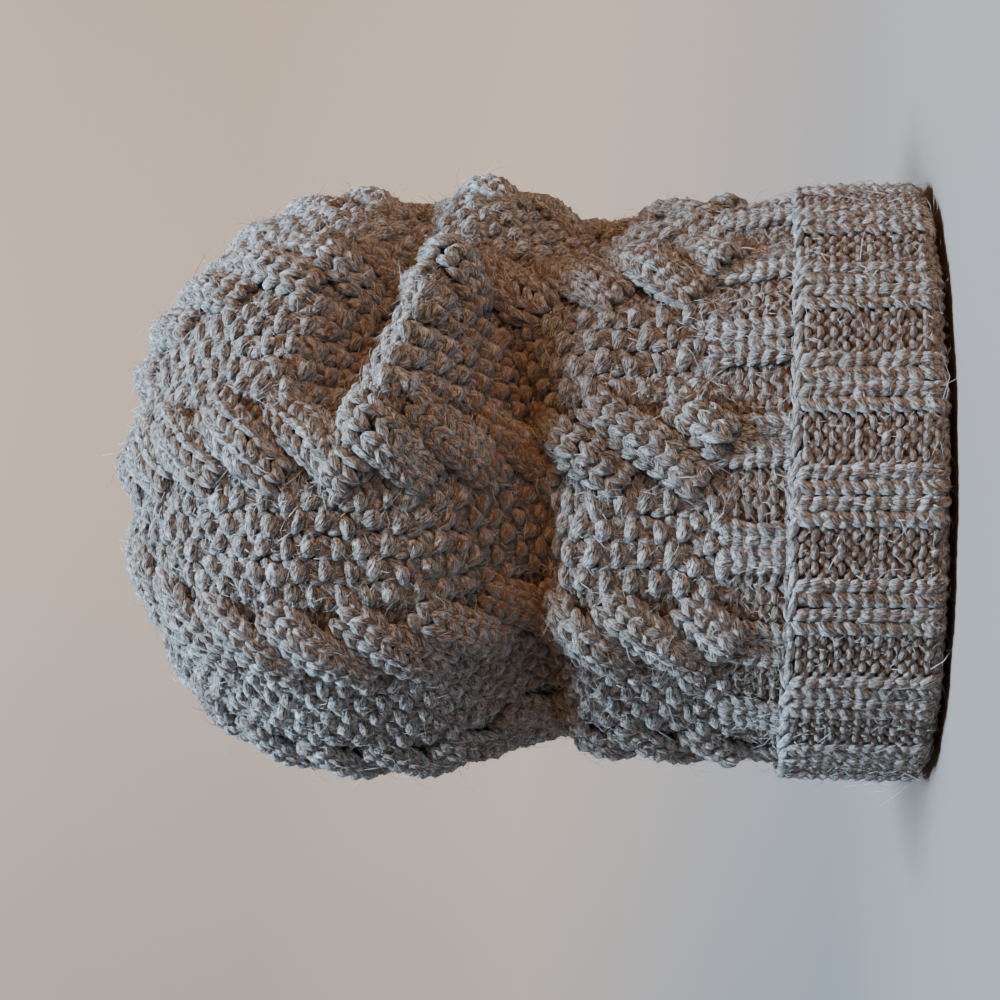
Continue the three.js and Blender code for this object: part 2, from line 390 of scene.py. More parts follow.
class CuffMap:
    """Finds places on the cuff's outer face by pattern place and by the way down from its edge."""

    fold_radius = 5.0
    floor_gap = 1.5
    bend_end = 1.75
    edge_draw = 0.5
    edge_reach = 3.0
    near_place = 0.02
    near_down = 0.5

    def __init__(self, shape: HatShape) -> None:
        """Keep the sizes."""
        self.shape = shape

    def point(self, place: np.ndarray, down: np.ndarray, proud: float = 1.0) -> np.ndarray:
        """Return points of the cuff.

        Args:
            place: Pattern places.
            down: Millimetres down from the edge and on round the fold.
            proud: How much of the ridges' height shows there.

        Returns:
            Points in millimetres.
        """
        shape = self.shape
        straight = shape.cuff_top(place) - self.fold_radius - self.floor_gap
        bend = np.clip((down - straight) / self.fold_radius, 0.0, self.bend_end)
        radius = shape.rim_radius + shape.clearance + shape.cuff_wall + proud * shape.ridge(place)
        radius = radius - self.fold_radius * (1.0 - np.cos(bend))
        radius = radius - self.edge_draw * smooth(-down, -self.edge_reach, 0.0)
        height = shape.cuff_top(place) - np.minimum(down, straight) - self.fold_radius * np.sin(bend)
        angle = np.radians(shape.azimuth(place))
        return np.stack([radius * np.sin(angle), -radius * np.cos(angle), height], axis=-1)

    def spots(self, place: np.ndarray, down: np.ndarray) -> Spots:
        """Find places on the cuff with their directions, up meaning towards its edge.

        Args:
            place: Pattern places.
            down: Millimetres down from the edge.

        Returns:
            Spots on the ridges and valleys, facing as the cuff would without them.
        """
        place, down = np.broadcast_arrays(np.asarray(place, float), np.asarray(down, float))
        left, right = place - self.near_place, place + self.near_place
        above, below = down - self.near_down, down + self.near_down
        across = unit(self.point(right, down, 0.0) - self.point(left, down, 0.0))
        rise = unit(self.point(place, above, 0.0) - self.point(place, below, 0.0))
        out = unit(np.cross(across, rise))
        return Spots(self.point(place, down), across, unit(np.cross(out, across)), out)


class Grain(Enum):
    """How finely a grain of yarn is cut: its sides and its rings."""

    FINE = (6, 5)
    COARSE = (5, 4)


@dataclass
class Yarn:
    """Short grains of yarn, gathered as arrays and joined into one mesh."""

    parts: list[tuple[np.ndarray, ...]] = field(default_factory=list)
    uneven: float = 0.09
    lean: float = 0.1
    stray: float = 0.12
    floor: float = 0.1

    def add(self, at: Spots, length: Number, width: Number, thickness: Number, arch: Number,
            tuck: Number, depth: Number, grain: Grain) -> None:
        """Add one grain at each spot, lying along the spot's up direction.

        Args:
            at: Where the grains lie.
            length: Their lengths.
            width: Their widths across.
            thickness: Their thicknesses outward.
            arch: How far their ends bend back across.
            tuck: How far their ends dip inward.
            depth: How deep they lie in the knitting, from 0 to 1, which their colour shows as painted
                shade.
            grain: How finely they are cut.
        """
        count = len(at.point)
        sizes = [np.broadcast_to(np.asarray(size, float), (count,)) for size in
                 (length, width, thickness, arch, tuck, depth)]
        self.parts.append((grain, at.point, at.across, at.up, at.out, *sizes))

    def spots(self) -> Spots:
        """Return every grain's middle and directions."""
        return Spots(*(np.concatenate([part[index] for part in self.parts]) for index in range(1, 5)))

    @staticmethod
    def template(grain: Grain) -> tuple[np.ndarray, list[tuple[int, ...]]]:
        """Cut one grain with its length along Z.

        Args:
            grain: How finely it is cut.

        Returns:
            Its points and its faces.
        """
        sides, rings = grain.value
        work = bmesh.new()
        bmesh.ops.create_uvsphere(work, u_segments=sides, v_segments=rings, radius=1.0)
        points = np.array([vertex.co[:] for vertex in work.verts])
        faces = [tuple(vertex.index for vertex in face.verts) for face in work.faces]
        work.free()
        return points, faces

    def batch(self, grain: Grain, rng: np.random.Generator, origin: np.ndarray) -> dict[str, np.ndarray]:
        """Place the grains of one fineness.

        Args:
            grain: The fineness.
            rng: Source of each grain's small differences.
            origin: The hat's axis in millimetres.

        Returns:
            Arrays of the points, the faces' corners and sizes, and the attributes.
        """
        parts = [part for part in self.parts if part[0] is grain]
        point, across, up, out, length, width, thick, arch, tuck, depth = (
            np.concatenate([part[index] for part in parts]) for index in range(1, 11))
        shape, faces = self.template(grain)
        count = len(point)
        vary = 1.0 + rng.normal(0.0, self.uneven, (count, 3))
        lean = rng.normal(0.0, self.lean, (count, 1))
        up, across = unit(up + across * lean), unit(across - up * lean)
        point = point + out * rng.normal(0.0, self.stray, (count, 1))
        point = point + across * rng.normal(0.0, self.stray, (count, 1))
        along, side, rise = (shape[:, axis][None, :, None] for axis in (2, 0, 1))
        bow = along * along
        places = (point[:, None]
                  + up[:, None] * along * (0.5 * length * vary[:, 0])[:, None, None]
                  + across[:, None] * (side * (width * vary[:, 1])[:, None, None] / 2
                                       - bow * arch[:, None, None])
                  + out[:, None] * (rise * (thick * vary[:, 2])[:, None, None] / 2
                                    - bow * tuck[:, None, None]))
        places = (places + origin) * MM
        places[..., 2] = np.maximum(places[..., 2], self.floor * MM)
        corners = np.concatenate([np.array(face) for face in faces])
        first = np.arange(count)[:, None] * len(shape)
        return {
            "co": places.reshape(-1, 3).astype(np.float32),
            "loops": (first + corners).reshape(-1),
            "sizes": np.tile([len(face) for face in faces], count),
            YARN: np.tile(shape, (count, 1)).astype(np.float32),
            TINT: np.repeat(rng.random(count), len(shape)).astype(np.float32),
            PAINTED_SHADE: np.repeat(depth, len(shape)).astype(np.float32),
        }

    def piece(self, name: str, rng: np.random.Generator, origin: np.ndarray) -> bpy.types.Object:
        """Join the grains into one object.

        Args:
            name: The piece's name.
            rng: Source of each grain's small differences.
            origin: The hat's axis in millimetres, which the grains are moved by.

        Returns:
            The new object.
        """
        used = [grain for grain in Grain if any(part[0] is grain for part in self.parts)]
        batches = [self.batch(grain, rng, origin) for grain in used]
        start = np.cumsum([0] + [len(batch["co"]) for batch in batches])
        loops = np.concatenate([batch["loops"] + first for batch, first in zip(batches, start)])
        sizes = np.concatenate([batch["sizes"] for batch in batches])
        mesh = bpy.data.meshes.new(name)
        mesh.vertices.add(int(start[-1]))
        mesh.vertices.foreach_set("co", np.concatenate([batch["co"] for batch in batches]).reshape(-1))
        mesh.loops.add(len(loops))
        mesh.loops.foreach_set("vertex_index", loops.astype(np.int32))
        mesh.polygons.add(len(sizes))
        mesh.polygons.foreach_set("loop_start", (np.cumsum(sizes) - sizes).astype(np.int32))
        mesh.polygons.foreach_set("use_smooth", np.ones(len(sizes), bool))
        mesh.update(calc_edges=True)
        lay = mesh.attributes.new(YARN, "FLOAT_VECTOR", "POINT")
        lay.data.foreach_set("vector", np.concatenate([batch[YARN] for batch in batches]).reshape(-1))
        for key in (TINT, PAINTED_SHADE):
            layer = mesh.attributes.new(key, "FLOAT", "POINT")
            layer.data.foreach_set("value", np.concatenate([batch[key] for batch in batches]))
        return show(mesh)


@dataclass(frozen=True)
class Ramp:
    """How far a pattern tells in a colour: not at all at low, and by the whole amount at high."""

    low: float
    high: float
    amount: float


class Socket:
    """A value in a material's node tree that Python's operators work on."""

    def __init__(self, finish: "Shader", output: bpy.types.NodeSocket) -> None:
        """Wrap an output socket of a tree."""
        self.finish = finish
        self.output = output

    def _math(self, operation: str, *values: "Socket | float") -> "Socket":
        """Add one Math node for an operation on values."""
        return self.finish.node("ShaderNodeMath", {"operation": operation}, dict(enumerate(values)))

    def __add__(self, other: "Socket | float") -> "Socket":
        """Add."""
        return self._math("ADD", self, other)

    def __sub__(self, other: "Socket | float") -> "Socket":
        """Subtract."""
        return self._math("SUBTRACT", self, other)

    def __rsub__(self, other: float) -> "Socket":
        """Subtract from a number."""
        return self._math("SUBTRACT", other, self)

    def __mul__(self, other: "Socket | float") -> "Socket":
        """Multiply."""
        return self._math("MULTIPLY", self, other)

    __radd__ = __add__
    __rmul__ = __mul__

    def sine(self) -> "Socket":
        """Return the sine."""
        return self._math("SINE", self)

    def cosine(self) -> "Socket":
        """Return the cosine."""
        return self._math("COSINE", self)

    def angle(self, other: "Socket") -> "Socket":
        """Return the angle whose tangent is this value over the other."""
        return self._math("ARCTAN2", self, other)

    def clamped(self, low: float, high: float) -> "Socket":
        """Return 0 at low and 1 at high, with the values between in proportion."""
        inputs = {"Value": self, "From Min": low, "From Max": high}
        return self.finish.node("ShaderNodeMapRange", {"clamp": True}, inputs)

    def ramped(self, ramp: Ramp) -> "Socket":
        """Return what this pattern adds by a ramp."""
        return self.clamped(ramp.low, ramp.high) * ramp.amount


class Shader:
    """A material's node tree with one Principled shader."""

    def __init__(self, name: str) -> None:
        """Make the material and keep its shader."""
        self.material = bpy.data.materials.new(name)
        self.material.use_nodes = True
        self.tree = self.material.node_tree
        self.surface = next(node for node in self.tree.nodes if node.type == "BSDF_PRINCIPLED")

    def node(self, kind: str, settings: dict[str, object], inputs: dict, output: int | str = 0) -> Socket:
        """Add a node.

        Args:
            kind: The node's type.
            settings: Its properties, which are set first.
            inputs: Values or links of its sockets, by name or by number.
            output: The output that is wanted.

        Returns:
            The wanted output.
        """
        node = self.tree.nodes.new(kind)
        for key, value in settings.items():
            setattr(node, key, value)
        for key, value in inputs.items():
            if isinstance(value, Socket):
                self.tree.links.new(value.output, node.inputs[key])
            else:
                node.inputs[key].default_value = value
        return Socket(self, node.outputs[output])

    def axes(self, vector: Socket) -> tuple[Socket, Socket, Socket]:
        """Split a vector into its three numbers."""
        parts = self.node("ShaderNodeSeparateXYZ", {}, {0: vector}).output.node.outputs
        return tuple(Socket(self, parts[index]) for index in range(3))

    def vector(self, *parts: "Socket | float") -> Socket:
        """Join three numbers into a vector."""
        return self.node("ShaderNodeCombineXYZ", {}, dict(enumerate(parts)))

    def noise(self, place: Socket, scale: float, detail: float, roughness: float) -> Socket:
        """Read noise at a place."""
        return self.node("ShaderNodeTexNoise", {}, {"Vector": place, "Scale": scale, "Detail": detail,
                                                    "Roughness": roughness})

    def blend(self, factor: "Socket | float", first: "Socket | tuple", second: "Socket | tuple") -> Socket:
        """Mix two colours by a factor."""
        return self.node("ShaderNodeMix", {"data_type": "RGBA"}, {0: factor, 6: first, 7: second}, 2)

    def attribute(self, name: str, output: str = "Fac") -> Socket:
        """Read one of the mesh's own attributes."""
        return self.node("ShaderNodeAttribute", {"attribute_name": name}, {}, output)

    def set(self, **values: float) -> None:
        """Set the shader's own sockets, with spaces in their names written as underscores."""
        for key, value in values.items():
            self.surface.inputs[key.replace("_", " ")].default_value = value

    def feed(self, socket: str, value: Socket) -> None:
        """Link a value to one of the shader's sockets."""
        self.tree.links.new(value.output, self.surface.inputs[socket])


def colour(red: float, green: float, blue: float) -> tuple[float, float, float, float]:
    """Return an opaque colour."""
    return (red, green, blue, 1.0)


@dataclass(frozen=True)
class HeatherWool:
    """Brushed heather wool: twisted plies of light and dark fibres, with painted shade that makes it
    browner where it lies deep and darker in the grooves between its plies.
    """

    name: str = "heather_wool"
    light: tuple = colour(0.66, 0.645, 0.635)
    middle: tuple = colour(0.142, 0.090, 0.048)
    dark: tuple = colour(0.012, 0.006, 0.003)
    # deep is painted shade: the brown that grains lying deep in the knitting are blended towards.
    deep: tuple = colour(0.18, 0.078, 0.021)
    plies: float = 2.0
    twist: float = 4.5
    ply_start: float = 9.0
    fibre_twist: float = 0.8
    fibre_across: float = 2.6
    fibre_along: float = 0.9
    fibre_start: float = 60.0
    fibre_scale: float = 1.7
    fleck_scale: float = 520.0
    drift_scale: float = 45.0
    pale_fibres: Ramp = Ramp(0.44, 0.64, 0.85)
    pale_flecks: Ramp = Ramp(0.45, 0.66, 0.35)
    pale_drifts: Ramp = Ramp(0.3, 0.7, 0.2)
    pale_tint: float = 0.25
    pale_from: float = 0.25
    pale_kept: float = 0.5
    dark_fibres: Ramp = Ramp(0.50, 0.38, 0.85)
    dark_flecks: Ramp = Ramp(0.48, 0.34, 0.6)
    # Painted shade: darker colour in the grooves between the plies.
    ply_groove_shade: Ramp = Ramp(-0.3, -1.0, 0.35)
    ply_relief: float = 0.45
    fibre_relief: float = 2.2
    fleck_relief: float = 0.8
    relief: float = 0.0006

    def material(self) -> bpy.types.Material:
        """Build the material for grains of yarn.

        Returns:
            The material, which reads each grain's own place, tint and painted shade.
        """
        shader = Shader(self.name)
        lay = shader.attribute(YARN, "Vector")
        tint = shader.attribute(TINT)
        depth = shader.attribute(PAINTED_SHADE)
        x, y, z = shader.axes(lay)
        spin = y.angle(x)
        ply = (spin * self.plies + z * self.twist + tint * self.ply_start).sine()
        lean = z * self.fibre_twist + tint * TURN
        turned = x * lean.cosine() - y * lean.sine()
        aside = x * lean.sine() + y * lean.cosine()
        streaks = shader.vector(turned * self.fibre_across, aside * self.fibre_across,
                                z * self.fibre_along + tint * self.fibre_start)
        fibres = shader.noise(streaks, self.fibre_scale, detail=4.0, roughness=0.7)
        where = shader.node("ShaderNodeTexCoord", {}, {}, "Object")
        flecks = shader.noise(where, self.fleck_scale, detail=3.0, roughness=0.75)
        drifts = shader.noise(where, self.drift_scale, detail=2.0, roughness=0.5)
        pale = fibres.ramped(self.pale_fibres) + flecks.ramped(self.pale_flecks)
        pale = pale + drifts.ramped(self.pale_drifts) + tint * self.pale_tint
        tone = (pale - self.pale_from).clamped(0.0, 1.0)
        base = shader.blend(tone, self.middle, self.light)
        shade = fibres.ramped(self.dark_fibres) + flecks.ramped(self.dark_flecks)
        # Painted shade in the grooves between the plies.
        shade = shade + ply.ramped(self.ply_groove_shade)
        base = shader.blend(shade, base, self.dark)
        # Painted shade: grains that lie deep in the knitting, in creases and under crossing strands, are
        # blended towards the deep brown, and pale fibres less so.
        base = shader.blend(depth * (1.0 - tone * self.pale_kept), base, self.deep)
        shader.feed("Base Color", base)
        height = ply * self.ply_relief + fibres * self.fibre_relief + flecks * self.fleck_relief
        bump = {"Height": height, "Strength": 1.0, "Distance": self.relief}
        shader.feed("Normal", shader.node("ShaderNodeBump", {}, bump))
        shader.set(Roughness=0.9, Specular_IOR_Level=0.18, Sheen_Weight=0.5, Sheen_Roughness=0.4)
        return shader.material


@dataclass(frozen=True)
class KnitBacking:
    """The knitting behind the stitches and inside the hat, with its purl bars in relief and painted shade
    between them.
    """

    name: str
    columns: float
    rows: float
    light: tuple = colour(0.22, 0.13, 0.075)
    dark: tuple = colour(0.06, 0.03, 0.015)
    waviness: float = 1.5
    fuzz_scale: float = 600.0
    # Painted shade: the bars' crests are paler and the troughs between them darker, and the fuzz varies the
    # tone at random.
    purl_bar_shading: Ramp = Ramp(-0.7, 0.9, 0.6)
    pale_fuzz: Ramp = Ramp(0.35, 0.7, 0.4)
    relief: float = 0.0012

    def material(self) -> bpy.types.Material:
        """Build the material for a backing.

        Returns:
            The material, which reads a UV map that covers the backing once.
        """
        shader = Shader(self.name)
        across, along, _ = shader.axes(shader.node("ShaderNodeUVMap", {}, {}))
        lift = (across * (TURN * self.columns)).sine()
        bars = (along * (TURN * self.rows) + lift * self.waviness).sine()
        where = shader.node("ShaderNodeTexCoord", {}, {}, "Object")
        fuzz = shader.noise(where, self.fuzz_scale, detail=4.0, roughness=0.6)
        # Painted shade between the purl bars, with random fuzz.
        pale = bars.ramped(self.purl_bar_shading) + fuzz.ramped(self.pale_fuzz)
        shader.feed("Base Color", shader.blend(pale, self.dark, self.light))
        bump = {"Height": bars + fuzz, "Strength": 0.9, "Distance": self.relief}
        shader.feed("Normal", shader.node("ShaderNodeBump", {}, bump))
        shader.set(Roughness=0.95, Specular_IOR_Level=0.1, Sheen_Weight=0.2)
        return shader.material


def dress(piece: bpy.types.Object, material: bpy.types.Material) -> None:
    """Give a piece its material and its body, and report it.

    Args:
        piece: The piece.
        material: Its finish.
    """
    piece.data.materials.append(material)
    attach(piece, BODY)
    triangles = sum(len(face.vertices) - 2 for face in piece.data.polygons)
    logging.info("%s: %d triangles", piece.name, triangles)


@dataclass(frozen=True)
class Legs:
    """The two legs of knit stitches, which make a V."""

    spread: float = 0.44
    reach: float = 1.85
    tuck: float = 1.0
    width: float = 0.64
    thickness: float = 2.9
    apart: float = 0.24
    arch: float = 0.35

    def knit(self, yarn: Yarn, at: Spots, width: Number, row: Number, upside: float = 1.0,
             depth: Number = 0.0) -> None:
        """Add a V at each spot.

        Args:
            yarn: Where the grains go.
            at: The middles of the stitches.
            width: The stitches' widths.
            row: The rows' heights.
            upside: 1 for a V, -1 for a V that hangs upside down.
            depth: How deep the stitches lie, which their colour shows as painted shade.
        """
        for side in (-1.0, 1.0):
            leg = at.moved(across=side * width * self.apart).turned(lean=side * upside * self.spread)
            yarn.add(leg, row * self.reach, width * self.width, self.thickness, -side * upside * self.arch,
                     self.tuck, depth, Grain.COARSE)


@dataclass(frozen=True)
class Bead:
    """A grain that lies across the knitting: its sizes, its bend and how far up and out it sits.

    Its length is in stitch widths, its lean in radians and the rest in millimetres.
    """

    length: float
    height: float
    thickness: float
    arch: float
    tuck: float
    out: float
    up: float = 0.0
    lean: float = math.pi / 2
    grain: Grain = Grain.COARSE

    def lay(self, yarn: Yarn, at: Spots, width: Number, depth: Number, taller: Number = 0.0) -> None:
        """Lay the bead at each spot.

        Args:
            yarn: Where the grains go.
            at: The middles of the stitches.
            width: The stitches' widths.
            depth: How deep the stitches lie, which their colour shows as painted shade.
            taller: What is added to each bead's height.
        """
        spots = at.moved(up=self.up, out=self.out).turned(lean=self.lean)
        yarn.add(spots, width * self.length, self.height + taller, self.thickness, self.arch, self.tuck,
                 depth, self.grain)


@dataclass
class Crown:
    """The crown: its backing, ribs, rope cables, moss stitch panels and gathered top.

    In a rope, lane is how far a strand swings to either side and hidden how far it runs on past a crossing
    at each end, in pitches. strand_low and strand_high are its heights at the ends and in the middle, as
    shares of the cable's raise. A rope side is a line's place, in cable widths, and its rise, and a ring of
    the gathered top is a radius and a height over the hat's own.
    """

    shape: HatShape
    wool: bpy.types.Material
    origin: np.ndarray
    seed: int = 7
    backing_depth: float = 1.8
    backing_lift: float = 0.8
    backing_columns: int = 108
    backing_rows: int = 64
    back_stitches: int = 11
    under_cable: tuple[float, float] = (0.15, 0.3)
    rim_depth: float = 0.3
    top_blend: float = 4.0
    first_row: int = 10
    pattern_row: int = 15
    top_radius: float = 5.0
    most_cable: float = 0.8
    # Painted shade: how deep a crease must be for full shade, how much of it the creases give, and how much
    # the strands get where they dive under a crossing.
    full_crease: float = 14.0
    crease_shade_share: float = 0.9
    under_strand_shade: float = 0.7
    purl_height: float = 0.72
    purl_shift: float = 0.25
    rib_knit: float = 0.23
    rib_purl: float = 0.175
    rib_purl_stitch: float = 0.19
    rib_rise: float = 0.2
    rib_sunk: float = 1.2
    panel_stitch: float = 6.8
    panel_edge: float = 0.93
    slip: float = 0.42
    slip_lean: float = 0.4
    moss_top: Bead = Bead(length=1.04, height=4.6, thickness=3.9, arch=1.2, tuck=1.5, out=-0.1, up=0.3,
                          grain=Grain.FINE)
    moss_low: Bead = Bead(length=0.9, height=2.5, thickness=2.4, arch=0.9, tuck=0.7, out=-1.1, up=-2.1)
    # Extra painted shade on the low parts of the moss stitches.
    low_stitch_shade: float = 0.3
    flat_out: float = -1.35
    flat_stitch: float = 0.95
    sunk: float = 1.6
    hidden: float = 0.2
    lane: float = 10.8
    strand_stitch: float = 4.4
    strand_low: float = 0.55
    strand_high: float = 1.85
    strand_fill: float = 1.02
    strand_row: float = 0.93
    strand_dome: float = 0.7
    strand_roll: float = 0.6
    narrow: float = 0.42
    purl_stitch: float = 5.2
    rope_sides: tuple = ((-0.5, -0.7), (-0.33, -1.2), (0.33, -1.2), (0.5, -0.7))
    rings: tuple = ((4.2, -1.9), (2.0, -1.3))
    ring_stitch: float = 4.6
    gathered: Bead = Bead(length=1.0, height=2.2, thickness=2.6, arch=0.3, tuck=0.6, out=0.0, lean=0.0,
                          grain=Grain.FINE)
    legs: Legs = Legs()
    rope_legs: Legs = Legs(spread=0.4, width=0.8, thickness=4.4)

    def __post_init__(self) -> None:
        """Lay the map and start the random numbers."""
        self.map = CrownMap(self.shape)
        self.rng = np.random.default_rng(self.seed)
        self.row_height = self.shape.cable_pitch / self.shape.rows_per_pitch
        self.grown: list[Yarn] = []

    def repeat(self, place: np.ndarray, row: np.ndarray) -> tuple[np.ndarray, np.ndarray]:
        """Measure the pattern round the crown.

        Args:
            place: Pattern places.
            row: Knitted rows.

        Returns:
            The widths of one pattern repeat and of its cable there.
        """
        radius, _ = self.map.outline(place, row)
        repeat = TURN * radius / self.shape.cables
        return repeat, np.minimum(self.shape.cable_width, repeat * self.most_cable)

    def backing(self) -> bpy.types.Object:
        """Build the knitted wall behind the stitches, with its inside.

        Returns:
            The new object.
        """
        work = bmesh.new()
        work.loops.layers.uv.new("UVMap")
        bmesh.ops.create_grid(work, x_segments=self.backing_columns, y_segments=self.backing_rows, size=1.0,
                              calc_uvs=True)
        spots = np.array([vertex.co[:] for vertex in work.verts])
        place = (spots[:, 0] + 1.0) / 2 * self.shape.cables
        row = (spots[:, 1] + 1.0) / 2 * self.map.rows
        at = self.map.spots(place, row)
        middle = np.abs(place - np.round(place))
        deep = self.backing_depth - self.backing_lift * (1.0 - smooth(middle, *self.under_cable))
        deep = np.where(row < self.first_row, self.rim_depth, deep)
        radius, _ = self.map.outline(place, row)
        point = at.moved(out=-deep * smooth(radius, 0.0, self.top_blend)).point
        point[radius < 0.01] = (0.0, 0.0, self.shape.hat_height - self.backing_depth)
        for vertex, place_mm in zip(work.verts, point):
            vertex.co = (place_mm + self.origin) * MM
        bmesh.ops.remove_doubles(work, verts=work.verts, dist=MERGE)
        bmesh.ops.recalc_face_normals(work, faces=work.faces)
        thickness = (self.shape.knit_wall - self.backing_depth) * MM
        bmesh.ops.solidify(work, geom=work.faces[:], thickness=thickness)
        piece = finished(work, "crown_backing")
        finish = KnitBacking("crown_back_knit", self.shape.cables * self.back_stitches, self.map.rows)
        dress(piece, finish.material())
        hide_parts("crown")
        return piece

    def purl(self, yarn: Yarn, at: Spots, width: Number, depth: Number) -> None:
        """Add a purl stitch at each spot: a bump and the loop that hangs between two bumps.

        Args:
            yarn: Where the grains go.
            at: The middles of the stitches.
            width: The stitches' widths.
            depth: How deep the stitches lie, which their colour shows as painted shade.
        """
        height = self.row_height * self.purl_height
        shift = self.row_height * self.purl_shift
        bump = Bead(length=1.05, height=height, thickness=2.6, arch=0.75, tuck=0.9, out=-0.2, up=shift)
        bump.lay(yarn, at, width, depth)
        loop = Bead(length=1.0, height=height, thickness=2.4, arch=-0.7, tuck=0.8, out=-0.7, up=-shift)
        loop.lay(yarn, at.moved(across=width * 0.5), width, depth)

    def crease_shade(self, place: np.ndarray, row: np.ndarray) -> np.ndarray:
        """Return the painted shade for how deep in a crease the wall lies, from 0 to 1."""
        _, height = self.map.outline(place, row)
        push = self.shape.fold_depth(self.shape.azimuth(place), height)
        return np.clip(-push / self.full_crease, 0.0, 1.0)

    def rib(self) -> Yarn:
        """Knit the short rib above the cuff.

        Returns:
            Its yarn.
        """
        yarn = Yarn()
        ribs = self.shape.cables * self.shape.ribs_per_cable
        rows = np.arange(self.first_row, self.pattern_row + 1)
        rib, row = (grid.ravel() for grid in np.meshgrid(np.arange(ribs), rows))
        middle = rib / self.shape.ribs_per_cable
        width = self.repeat(middle, row)[0] / self.shape.ribs_per_cable
        for side in (-1, 1):
            spots = self.map.spots(middle, row + 0.5)
            spots = spots.moved(across=side * width * self.rib_knit / 2, out=self.rib_rise)
            self.legs.knit(yarn, spots, width * self.rib_knit, self.row_height)
        # The sunk purl stitches between the ribs get painted shade.
        for step in (-1, 0, 1):
            place = middle + (0.5 + step * self.rib_purl) / self.shape.ribs_per_cable
            spots = self.map.spots(place, row + 0.5).moved(out=-self.rib_sunk)
            self.purl(yarn, spots, width * self.rib_purl_stitch, depth=0.4)
        return yarn

    def moss(self, panel: int) -> Yarn:
        """Knit the moss stitch panel that follows a cable.

        Args:
            panel: The number of the cable that it follows.

        Returns:
            Its yarn.
        """
        yarn = Yarn()
        for row in range(self.pattern_row, self.map.rows):
            middle = panel + 0.5
            repeat, cable = (float(width) for width in self.repeat(middle, row + 0.5))
            radius = float(self.map.outline(middle, row + 0.5)[0])
            room = repeat - cable * self.panel_edge
            count = int(round(room / self.panel_stitch))
            if count < 1 or radius < self.top_radius:
                continue
            width = room / count
            step = np.arange(count)
            place = middle + (step + 0.5 - count / 2) * width / repeat
            spots = self.map.spots(place, np.full(count, row + 0.5))
            # Painted shade in the creases, and more on the low parts of the stitches.
            crease_shade = self.crease_shade(place, np.full(count, row + 0.5)) * self.crease_shade_share
            purl = (step + row + panel) % 2 == 0
            bump = spots.some(purl)
            if len(bump.point):
                slip = self.rng.normal(0.0, self.slip, (2, len(bump.point)))
                bump = bump.moved(across=slip[0], up=slip[1]).turned(lean=slip[0] * self.slip_lean)
                self.moss_top.lay(yarn, bump, width, crease_shade[purl], slip[1])
                self.moss_low.lay(yarn, bump, width, crease_shade[purl] + self.low_stitch_shade)
            flat = spots.some(~purl).moved(out=self.flat_out)
            if len(flat.point):
                self.legs.knit(yarn, flat, width * self.flat_stitch, self.row_height,
                               depth=crease_shade[~purl] + self.low_stitch_shade)
        return yarn

    def rope(self, cable: int) -> Yarn:
        """Knit one rope cable of two strands that cross over each other, and the purl lines beside it.

        Args:
            cable: The cable's number, counted from the front one.

        Returns:
            Its yarn.
        """
        yarn = Yarn()
        shape = self.shape
        rows = np.arange(self.pattern_row, self.map.rows, 1.0) + 0.5
        along = rows * self.row_height
        repeat, width = self.repeat(cable, rows)
        radius, _ = self.map.outline(cable, rows)
        scale = width / shape.cable_width
        rise_scale = smooth(radius, 0.0, shape.cable_end_radius)
        # Painted shade in the creases.
        crease_shade = self.crease_shade(np.full(len(rows), float(cable)), rows) * self.crease_shade_share
        open_rows = radius > self.top_radius
        # The purl lines beside the rope get painted shade.
        for line, rise in self.rope_sides:
            beside = self.map.spots(cable + line * width / repeat, rows).moved(out=rise)
            self.purl(yarn, beside.some(open_rows), self.purl_stitch * scale[open_rows], depth=0.45)
        for strand in (0.0, 1.0):
            turn = (along / shape.cable_pitch + strand + self.hidden) % 2.0 - self.hidden
            part = (turn + self.hidden) / (1.0 + 2.0 * self.hidden)
            swell = np.sin(math.pi * np.clip(part, 0.0, 1.0))
            lift = self.strand_low + (self.strand_high - self.strand_low) * swell
            offset = self.lane * scale * (2.0 * part - 1.0)
            slope = np.arctan(2.0 * self.lane * scale / ((1.0 + 2.0 * self.hidden) * shape.cable_pitch))
            front = (part <= 1.0) & open_rows
            stitch = self.strand_stitch * scale
            for step in (-1, 0, 1):
                keep = front & ((step == 0) | (scale > self.narrow))
                across = offset + step * stitch * np.cos(slope)
                shift = -step * stitch * np.sin(slope) / self.row_height
                dome = math.sqrt(1.0 - (step * self.strand_dome) ** 2)
                height = shape.cable_raise * lift * dome * rise_scale - self.sunk
                spots = self.map.spots(cable + across / repeat, rows + shift)
                spots = spots.moved(out=height).turned(lean=slope)
                spots = spots.turned(roll=step * self.strand_roll * rise_scale)
                stretch = self.row_height / np.cos(slope) * self.strand_row
                # Painted shade on a strand where it runs low under the crossing, and in the creases.
                depth = np.clip((1.0 - lift / self.strand_high) * self.under_strand_shade + crease_shade, 0.0, 1.0)
                self.rope_legs.knit(yarn, spots.some(keep), stitch[keep] * self.strand_fill, stretch[keep],
                                    depth=depth[keep])
        return yarn

    def gather(self) -> Yarn:
        """Draw the last stitches together at the top, in two rings.

        Returns:
            Their yarn.
        """
        yarn = Yarn()
        count = self.shape.cables
        turn = np.arange(count) / count * TURN
        out = np.stack([np.sin(turn), -np.cos(turn), np.zeros(count)], axis=1)
        rise = np.tile((0.0, 0.0, 1.0), (count, 1))
        # The gathered top gets a little painted shade.
        for radius, lift in self.rings:
            point = out * radius + np.array([0.0, 0.0, self.shape.hat_height + lift])
            spots = Spots(point, np.cross(rise, out), out, rise)
            self.gathered.lay(yarn, spots, self.ring_stitch, depth=0.2)
        return yarn

